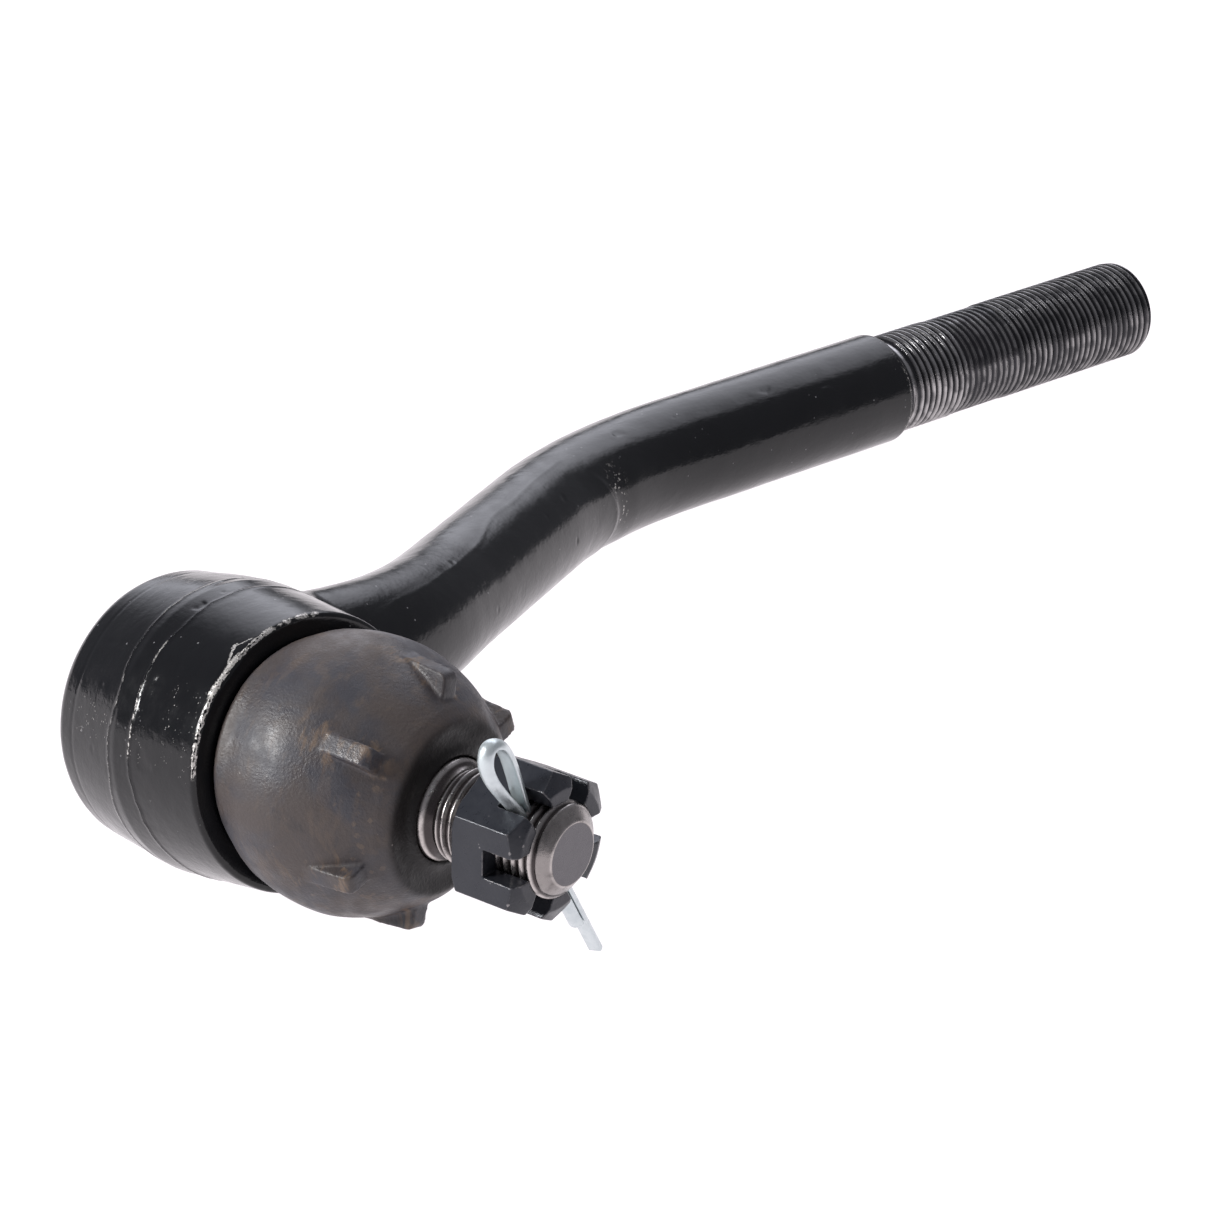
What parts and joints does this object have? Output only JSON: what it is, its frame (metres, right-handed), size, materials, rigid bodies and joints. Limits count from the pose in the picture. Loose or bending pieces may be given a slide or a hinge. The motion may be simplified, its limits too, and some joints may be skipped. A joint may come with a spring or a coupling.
{
  "type": "tie rod end",
  "caption": "Offset steering tie rod end: a forged socket head with a tilting ball stud, rubber boot, slotted nut and cotter pin, on an S-bent shank with an external thread.",
  "frame": {"origin": "centre of the ball in the socket head", "axes": "+X along the threaded shank towards its free end, -Y along the socket bore towards the stud, +Z square to both"},
  "size_m": [0.2631, 0.1195, 0.0521],
  "materials": {
    "forged_black": "gloss black paint over a forged and rolled surface",
    "cover_black": "black paint over a pressed disc",
    "spring_steel": "drawn wire",
    "plain_steel": "plain pressed steel, greased",
    "bearing_polymer": "moulded black polymer, greased",
    "boot_rubber": "matt brown-black rubber with dusty smudges",
    "stud_steel": "dull machined steel with brown staining",
    "black_oxide": "black oxide with lighter worn edges",
    "zinc": "bright zinc plate"
  },
  "bodies": {
    "socket": {"housing": "forged_black", "end_cover": "cover_black", "preload_spring": "spring_steel", "spring_seat": "plain_steel", "grease_fitting": "zinc", "fitting_spring": "spring_steel", "fitting_ball": "spring_steel"},
    "race": {"upper_bearing": "bearing_polymer", "lower_bearing": "bearing_polymer"},
    "boot": {"dust_boot": "boot_rubber"},
    "stud": {"ball_stud": "stud_steel", "castle_nut": "black_oxide", "cotter_pin": "zinc"}
  },
  "joints": [
    {"name": "race_turn", "type": "hinge", "parent": "socket", "child": "race", "pos_m": [0, 0, 0], "axis": [0, -1, 0], "continuous": true},
    {"name": "stud_tilt", "type": "hinge", "parent": "race", "child": "boot", "pos_m": [0, 0, 0], "axis": [0.5835, 0, 0.8121], "range_deg": [-34.9, 9.1], "deforming": ["dust_boot"]},
    {"name": "stud_spin", "type": "hinge", "parent": "boot", "child": "stud", "pos_m": [0, 0, 0], "axis": [0.1813, -0.9748, -0.1303], "continuous": true}
  ]
}
